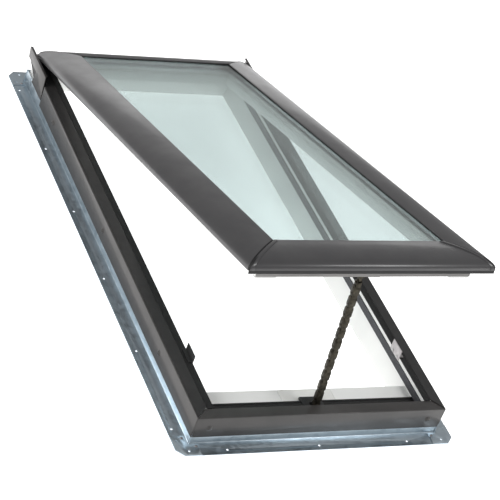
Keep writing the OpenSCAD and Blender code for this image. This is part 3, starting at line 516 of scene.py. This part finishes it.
def sashCovers():
    c = coverSizes
    x = c["halfWidth"]
    yFront = hingeAt.y - c["reach"]
    yBack = hingeAt.y - c["gap"]
    z = hingeAt.z
    gap = c["joint"]
    front = Vector((c["sideWidth"], c["bottomWidth"], 0)).normalized()
    rear = Vector((c["sideWidth"], -c["topWidth"], 0)).normalized()
    for word, side in (("left", -1), ("right", 1)):
        frontCorner = Vector((side * x, yFront, 0))
        rearCorner = Vector((side * x, yBack, 0))
        frontOut = Vector((-side * front.y, -front.x, 0))  # beyond the mitre, towards the bottom cover
        rearOut = Vector((side * rear.y, rear.x, 0))
        mitres = [(frontCorner - frontOut * gap, frontOut), (rearCorner - rearOut * gap, rearOut)]
        lay = (Vector((side * x, yFront, z)), Vector((side * x, yBack, z)), Vector((-side, 0, 0)),
               c["sideWidth"])
        crownedCover("cover" + word.title(), *lay, mitres, ["cover_" + word])
        for place, corner, out in (("Front", frontCorner, frontOut), ("Rear", rearCorner, rearOut)):
            strip = [(corner + out * c["gasket"], out), (corner - out * c["gasket"], -out)]
            under = c["sheet"] * c["gasketSunk"]
            crownedCover("jointGasket" + place + word.title(), *lay, strip, under=under)
    lay = (Vector((-x, yFront, z)), Vector((x, yFront, z)), Vector((0, 1, 0)), c["bottomWidth"])
    mitres = []
    for side in (-1, 1):
        out = Vector((side * front.y, front.x, 0))
        corner = Vector((side * x, yFront, 0))
        mitres.append((corner - out * gap, out))
        bead = [(corner - out * c["capNear"], out), (corner - out * c["capFar"], -out)]
        crownedCover("mitreCap" + ("Left" if side < 0 else "Right"), *lay, bead, under=-c["capRise"])
    crownedCover("coverBottom", *lay, mitres, ["cover_bottom"])
    mitres = []
    for side in (-1, 1):
        out = Vector((side * c["topWidth"], -c["sideWidth"], 0)).normalized()
        mitres.append((Vector((side * x, yBack, 0)) - out * gap, out))
    lay = (Vector((-x, yBack, z)), Vector((x, yBack, z)), Vector((0, -1, 0)), c["topWidth"])
    crownedCover("coverTop", *lay, mitres, ["cover_top"])


sashCovers()
print("sash covers spun")

flangeSizes = {
    "sheet": 1.2 * mm, "bend": 2.6 * mm, "legFace": 278.1 * mm, "legHigh": 34 * mm, "holeRadius": 2.3 * mm,
    "sideRow": 301 * mm, "sidePitch": 220 * mm, "endRow": 611 * mm, "endPitch": 203 * mm,
    "endLegFace": 588.1 * mm, "edge": 0.3 * mm, "cutter": 8 * mm, "sideHoles": 6,
}


def punched(piece, places, radius):
    # screw holes cut with one cutter copied to each place
    bpy.ops.mesh.primitive_cylinder_add(vertices=20, radius=radius, depth=flangeSizes["cutter"])
    cutter = copyTo(bpy.context.object, [Matrix.Translation(place) for place in places], "holeCutter")
    applyModifier(piece, "BOOLEAN", operation="DIFFERENCE", object=cutter, solver="EXACT")
    bpy.data.objects.remove(cutter)


def mountingFlange():
    f = flangeSizes
    half = f["sheet"] / 2
    up = Vector((0, 0, f["legHigh"] - half))
    rows = [f["sidePitch"] * (i - (f["sideHoles"] - 1) / 2) for i in range(f["sideHoles"])]
    for word, side in (("left", -1), ("right", 1)):
        low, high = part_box("flange_" + word)
        edge = max(abs(low[0]), abs(high[0])) * side
        step = Vector((side * f["legFace"] - edge, 0, 0))
        start = Vector((edge, low[1], half))
        end = Vector((edge, high[1], half))
        piece = foldSheet("flange" + word.title(), start, end, (step, up), f["sheet"], f["bend"])
        punched(piece, [Vector((side * f["sideRow"], y, 0)) for y in rows], f["holeRadius"])
        easeEdges(piece, f["edge"])
        finishPiece(piece, "frame", zincSheet, ["flange_" + word])
    for word, toward in (("bottom", -1), ("top", 1)):
        low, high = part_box("flange_" + word)
        edge = max(abs(low[1]), abs(high[1])) * toward
        step = Vector((0, toward * f["endLegFace"] - edge, 0))
        start = Vector((low[0], edge, half))
        end = Vector((high[0], edge, half))
        piece = foldSheet("flange" + word.title(), start, end, (step, up), f["sheet"], f["bend"])
        row = [Vector((f["endPitch"] * i, toward * f["endRow"], 0)) for i in (-1, 0, 1)]
        punched(piece, row, f["holeRadius"])
        easeEdges(piece, f["edge"])
        finishPiece(piece, "frame", zincSheet, ["flange_" + word])
    for name in ("bottom_left", "bottom_right", "top_left", "top_right"):
        title = "".join(word.title() for word in name.split("_"))
        softened("cornerPiece" + title, "corner_piece_" + name, "frame", zincSheet, f["edge"])


mountingFlange()
print("mounting flange folded")

sillSizes = {
    "halfWidth": 238 * mm, "front": -567.2 * mm, "bed": 42.45 * mm, "thick": 0.9 * mm, "rib": 1.7 * mm,
    "land": 3.2 * mm, "lidHalf": 23.4 * mm, "lidFront": 9 * mm, "pitch": 8.6 * mm, "ribs": 4,
    "lap": 0.3 * mm, "lead": 1 * mm, "bend": 0.5 * mm,
}


def sillSeal():
    # ribbed rubber strip: a full-width lip in front of the lid and two ribbed halves beside it
    s = sillSizes
    strips = []
    full = [(0, 0, s["rib"]), (0, s["land"], 0), (0, 0, -s["rib"]), (0, s["lidFront"] - s["land"], 0)]
    strips.append(("sillLip", -s["halfWidth"], s["halfWidth"], s["front"], full))
    oneRib = [(0, 0, s["rib"]), (0, s["land"], 0), (0, 0, -s["rib"]), (0, s["pitch"] - s["land"], 0)]
    ribs = [(0, s["lead"], 0)] + oneRib * s["ribs"]
    y = s["front"] + s["lidFront"] - s["lap"]
    strips.append(("sillRibsLeft", -s["halfWidth"], -s["lidHalf"], y, ribs[:-1]))
    strips.append(("sillRibsRight", s["lidHalf"], s["halfWidth"], y, ribs[:-1]))
    made = []
    for name, x0, x1, y, steps in strips:
        start = Vector((x0, y, s["bed"]))
        end = Vector((x1, y, s["bed"]))
        made.append(foldSheet(name, start, end, [Vector(step) for step in steps], s["thick"], s["bend"]))
    finishPiece(joinAll(made, "ribbedSillSeal"), "frame", sealRubber, ["sill_seal"])


sillSeal()

railShadeSizes = {
    "halfWidth": 235.4 * mm, "face": -564.9 * mm, "low": 49.4 * mm, "high": 75 * mm, "return": 9 * mm,
    "sheet": 0.8 * mm, "bend": 1.2 * mm,
    "skirtShadeHalf": 268.5 * mm, "skirtShadeFace": -594.6 * mm, "skirtShadeLow": 69.5 * mm, "trimHigh": 78 * mm,
}


def railShadeStrips():
    # painted shade: a grey bent strip over the front of the sash's bottom rail, and a black strip below the
    # bottom cover's skirt
    d = railShadeSizes
    back = Vector((0, d["return"], 0))
    up = Vector((0, 0, d["high"] - d["low"]))
    start = Vector((-d["halfWidth"], d["face"] + d["return"], d["low"]))
    end = Vector((d["halfWidth"], d["face"] + d["return"], d["low"]))
    piece = foldSheet("sashRailShadeStrip", start, end, (-back, up), d["sheet"], d["bend"])
    swingOpen(piece)
    # the grey strip stands for the shade on the rail's white front
    finishPiece(piece, "sash", shadeStripCoat)
    # a black plastic strip under the bottom cover's skirt: painted shade
    low = Vector((0, d["skirtShadeFace"], d["skirtShadeLow"]))
    out = Vector((d["skirtShadeHalf"], 0, 0))
    up = Vector((0, 0, d["trimHigh"] - d["skirtShadeLow"]))
    piece = foldSheet("coverEdgeTrim", low - out, low + out, [up], d["sheet"], 0)
    swingOpen(piece)
    finishPiece(piece, "sash", blackPlastic)


railShadeStrips()
# the drip strip here is the grey painted-shade strip on the sash's bottom rail
print("sill seal and drip strip folded")

shadeSheetSizes = {
    "outer": 277.2 * mm, "inner": 253 * mm, "low": 68.5 * mm, "sheet": 0.8 * mm, "front": -591 * mm,
    "mitre": 3.5 * mm, "wellOuter": 277 * mm, "wellInner": 239 * mm, "wellLow": 66.9 * mm,
    "wellBack": 588 * mm,
}


def sideShadeSheets():
    # painted shade: near-black sheets on the side claddings' top legs under the side covers, and behind each
    # hinge cover, where the sash shades the frame
    c = shadeSheetSizes
    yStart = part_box("cladding_bottom")[0][1]
    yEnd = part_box("cladding_left")[1][1]
    for word, side in (("Left", -1), ("Right", 1)):
        across = Vector((-side, 0, claddingSizes["rise"]))
        corner = Vector((side * (claddingSizes["halfWidth"] - c["mitre"]), yStart + c["mitre"], 0))
        low = Vector((side * c["outer"], c["front"], c["low"]))
        high = Vector((side * c["outer"], yEnd, c["low"]))
        mitre = [(corner, Vector((-side, -1, 0)))]
        wide = [across * (c["outer"] - c["inner"])]
        sideSheet = foldSheet("shadeSheetSideTop" + word, low, high, wide, c["sheet"], 0, mitre)
        finishPiece(sideSheet, "frame", shadeSheetCoat)
        low = Vector((side * c["wellOuter"], yEnd, c["wellLow"]))
        high = Vector((side * c["wellOuter"], c["wellBack"], c["wellLow"]))
        wide = [across * (c["wellOuter"] - c["wellInner"])]
        hingeSheet = foldSheet("hingeWell" + word, low, high, wide, c["sheet"], 0)
        # black plastic laid behind the hinge cover: painted shade
        finishPiece(hingeSheet, "frame", blackPlastic)


sideShadeSheets()

screwSizes = {
    "head": 4.3 * mm, "washer": 6.8 * mm, "washerThick": 0.7 * mm, "rise": 1.9 * mm, "slot": 1.1 * mm,
    "reach": 2.4 * mm, "high": 40 * mm, "endIn": 247 * mm,
    "places": (0.18, 0.5, 0.82), "length": 1180 * mm, "halfWidth": 280 * mm,
    "flat": 0.45, "dome": 0.18, "rounding": 0.6, "recess": 1.1,  # of the radius, then of the heights
}


def claddingScrews():
    # domed heads with a cross recess, each on a washer
    c = screwSizes
    clearSelection()
    bpy.ops.mesh.primitive_cylinder_add(
        vertices=28, radius=c["head"], depth=c["rise"], location=(0, 0, c["rise"] / 2))
    head = nameNew("screwHead")
    pick("FACE", lambda p: p.z > c["rise"] * 0.9)
    bpy.ops.mesh.inset(thickness=c["head"] * c["flat"])
    bpy.ops.transform.translate(value=(0, 0, c["rise"] * c["dome"]))
    pick("EDGE", lambda p: abs(p.z - c["rise"]) < 0.01 * mm and p.xy.length > c["head"] * 0.9)
    bpy.ops.mesh.bevel(offset=c["rise"] * c["rounding"], segments=4, affect="EDGES")
    bpy.ops.object.mode_set(mode="OBJECT")
    bakePlace(head)
    for turn in (45, 135):
        bpy.ops.mesh.primitive_cube_add(
            size=1, location=(0, 0, c["rise"] * c["recess"]), rotation=(0, 0, math.radians(turn)),
            scale=(2 * c["reach"], c["slot"], c["rise"]))
        blade = bpy.context.object
        applyModifier(head, "BOOLEAN", operation="DIFFERENCE", object=blade, solver="EXACT")
        bpy.data.objects.remove(blade)
    bpy.ops.mesh.primitive_cylinder_add(
        vertices=32, radius=c["washer"], depth=c["washerThick"], location=(0, 0, c["washerThick"] / 2))
    washer = nameNew("screwWasher")
    pick("EDGE", lambda p: p.z > c["washerThick"] * 0.9)
    bpy.ops.mesh.bevel(offset=c["washerThick"] * c["rounding"], segments=2, affect="EDGES")
    bpy.ops.object.mode_set(mode="OBJECT")
    bakePlace(washer)
    head = joinAll([head, washer], "cladScrew")
    yFront = -c["length"] / 2
    places = []
    for side in (-1, 1):
        there = Matrix.Translation((side * c["endIn"], yFront, c["high"]))
        places.append(there @ Matrix.Rotation(math.radians(90), 4, "X"))
    for side in (-1, 1):
        for share in c["places"]:
            there = Matrix.Translation((side * c["halfWidth"], yFront + share * c["length"], c["high"]))
            places.append(there @ Matrix.Rotation(math.radians(side * 90), 4, "Y"))
    finishPiece(copyTo(head, places, "claddingScrews"), "frame", screwCoat, ["cladding_screws"])


claddingScrews()

chainSizes = {
    "foot": Vector((0, -548 * mm, 43 * mm)), "lean": math.radians(6.42), "pitch": 12.7 * mm, "links": 24,
    "start": 0.04 * mm, "rivetOut": 0.8 * mm, "edge": 0.35 * mm, "rivetEdge": 0.5 * mm,
    "side": 0.1 * mm, "slim": 0.5 * mm, "webLap": 0.25,
    "cheek": 6.8 * mm, "plate": 1.5 * mm, "radius": 6.2 * mm, "rivet": 2.2 * mm, "sink": 9 * mm,
}


def linkCheek(name, x, radius):
    # stadium plate: a filled disc, its top half drawn up by one pitch, then pushed out to its thickness
    c = chainSizes
    clearSelection()
    bpy.ops.mesh.primitive_circle_add(
        vertices=24, radius=radius, fill_type="NGON", location=(x, 0, 0), rotation=(0, math.radians(90), 0))
    piece = nameNew(name)
    pick("VERT", lambda p: p.z > 0.01 * mm)
    bpy.ops.transform.translate(value=(0, 0, c["pitch"]))
    pick("FACE", lambda p: True)
    extrudeBy((c["plate"], 0, 0))
    bpy.ops.object.mode_set(mode="OBJECT")
    bakePlace(piece)
    tidyNormals(piece)
    return piece


def bridgeWeb(name, reach, radius):
    # the flat back of a link, facing the front
    c = chainSizes
    low = Vector((-reach, -radius + c["plate"] / 2, -radius * c["webLap"]))
    up = Vector((0, 0, c["pitch"] + radius * 2 * c["webLap"]))
    return foldSheet(name, low, Vector((reach, low.y, low.z)), [up], c["plate"], 0)


def chainLink(name, reach, radius):
    # two cheeks and the web between them
    c = chainSizes
    parts = [
        linkCheek(name + "Left", -reach, radius), linkCheek(name + "Right", reach - c["plate"], radius),
        bridgeWeb(name + "Web", reach - c["side"], radius)]
    return joinAll(parts, name + "Link")


def pushChain():
    c = chainSizes
    outer = chainLink("outer", c["cheek"], c["radius"])
    inner = chainLink("inner", c["cheek"] - c["plate"] - c["side"], c["radius"] - c["slim"])
    for link in (outer, inner):
        easeEdges(link, c["edge"])
    clearSelection()
    bpy.ops.mesh.primitive_cylinder_add(
        vertices=16, radius=c["rivet"], depth=2 * (c["cheek"] + c["rivetOut"]),
        rotation=(0, math.radians(90), 0))
    rivet = bpy.context.object
    bakePlace(rivet)
    easeEdges(rivet, c["rivetEdge"])
    line = Matrix.Translation(c["foot"]) @ Matrix.Rotation(-c["lean"], 4, "X")

    def at(number):
        return line @ Matrix.Translation((0, 0, c["start"] + number * c["pitch"]))

    parts = [copyTo(outer, [at(i) for i in range(0, c["links"], 2)], "outerLinks"),
             copyTo(inner, [at(i) for i in range(-1, c["links"], 2)], "innerLinks"),
             copyTo(rivet, [at(i) for i in range(-1, c["links"] + 1)], "chainRivets")]
    chain = finishPiece(joinAll(parts, "pushChain"), "chain", chainSteel, ["chain"])
    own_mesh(chain)


pushChain()
print("screws and push chain built")

# body, slot, finish and edge radius in millimetres of each node kept in its own shape
easedParts = {
    "frame_side_left": ("frame", "painted_wood", pineAlong, 1.2),
    "frame_side_right": ("frame", "painted_wood", pineAlong, 1.2),
    "frame_bottom_rail": ("frame", "painted_wood", pineAcross, 1.0),
    "frame_top_rail": ("frame", "painted_wood", pineAcross, 1.2),
    "sash_side_left": ("sash", "painted_wood", pineAlong, 1.5),
    "sash_side_right": ("sash", "painted_wood", pineAlong, 1.5),
    "sash_bottom_rail": ("sash", "painted_wood", pineAcross, 1.5),
    "sash_top_rail": ("sash", "painted_wood", pineAcross, 1.5),
    # the left guide plate takes black plastic while its mirror twin is steel: its dark is painted shade
    "guide_plate_left": ("frame", "guide", blackPlastic, 0.4),
    "guide_plate_right": ("frame", "guide", guideSteel, 0.4),
    "hinge_cover_left": ("frame", "cladding", claddingCoat, 0.6),
    "hinge_cover_right": ("frame", "cladding", claddingCoat, 0.6),
    "operator_lid": ("frame", "black_plastic", blackPlastic, 0.8),
}
for source, (body, slotName, finish, radius) in easedParts.items():
    first, *rest = source.split("_")
    name = first + "".join(word.title() for word in rest)
    softened(name, source, body, finish, radius * mm)
print("edges eased")

studioSizes = {
    "floor": 14, "floorDrop": 0.5 * mm, "glow": 0.92, "sky": 0.4, "aim": (0, 0, 0.15),
    "lamps": (("keyLight", (-3.2, 0.2, 1.6), 2.0, 60), ("stripLight", (1.65, -1.8, 2.85), 1.3, 40)),
    "eye": (-1.88606, -2.91927, 2.46642), "turn": (52.9065, -17.4871, -21.2681), "lens": 140.113,
    "sensor": 36, "farthest": 50,
}


def studio():
    c = studioSizes
    clearSelection()
    bpy.ops.mesh.primitive_plane_add(size=c["floor"], location=(0, 0, -c["floorDrop"]))
    floor = bpy.context.object
    floor.name = "studioFloor"
    # matt backdrop paper, lit a little from within so that it stays pale in the shadows
    paper = newFinish("matteStudioPaper", {
        "Roughness": 0.9, "Base Color": toLinear("#f6f6f6"),
        "Emission Color": toLinear("#ffffff"), "Emission Strength": c["glow"]})[0]
    floor.data.materials.append(paper)
    world = bpy.data.worlds.new("studioWorld")
    bpy.context.scene.world = world
    world.use_nodes = True
    sky = world.node_tree.nodes["Background"]
    sky.inputs["Color"].default_value = toLinear("#ffffff")
    sky.inputs["Strength"].default_value = c["sky"]
    for name, place, size, power in c["lamps"]:
        bpy.ops.object.light_add(type="AREA", location=place)
        lamp = bpy.context.object
        lamp.name = name
        lamp.data.shape = "DISK"
        lamp.data.size = size
        lamp.data.energy = power
        lamp.rotation_euler = (Vector(c["aim"]) - Vector(place)).to_track_quat("-Z", "Y").to_euler()
    bpy.ops.object.camera_add(location=c["eye"], rotation=[math.radians(angle) for angle in c["turn"]])
    camera = bpy.context.object
    camera.data.lens = c["lens"]
    camera.data.sensor_width = c["sensor"]
    camera.data.clip_end = c["farthest"]
    bpy.context.scene.camera = camera
    clearSelection()


studio()
print("studio set")
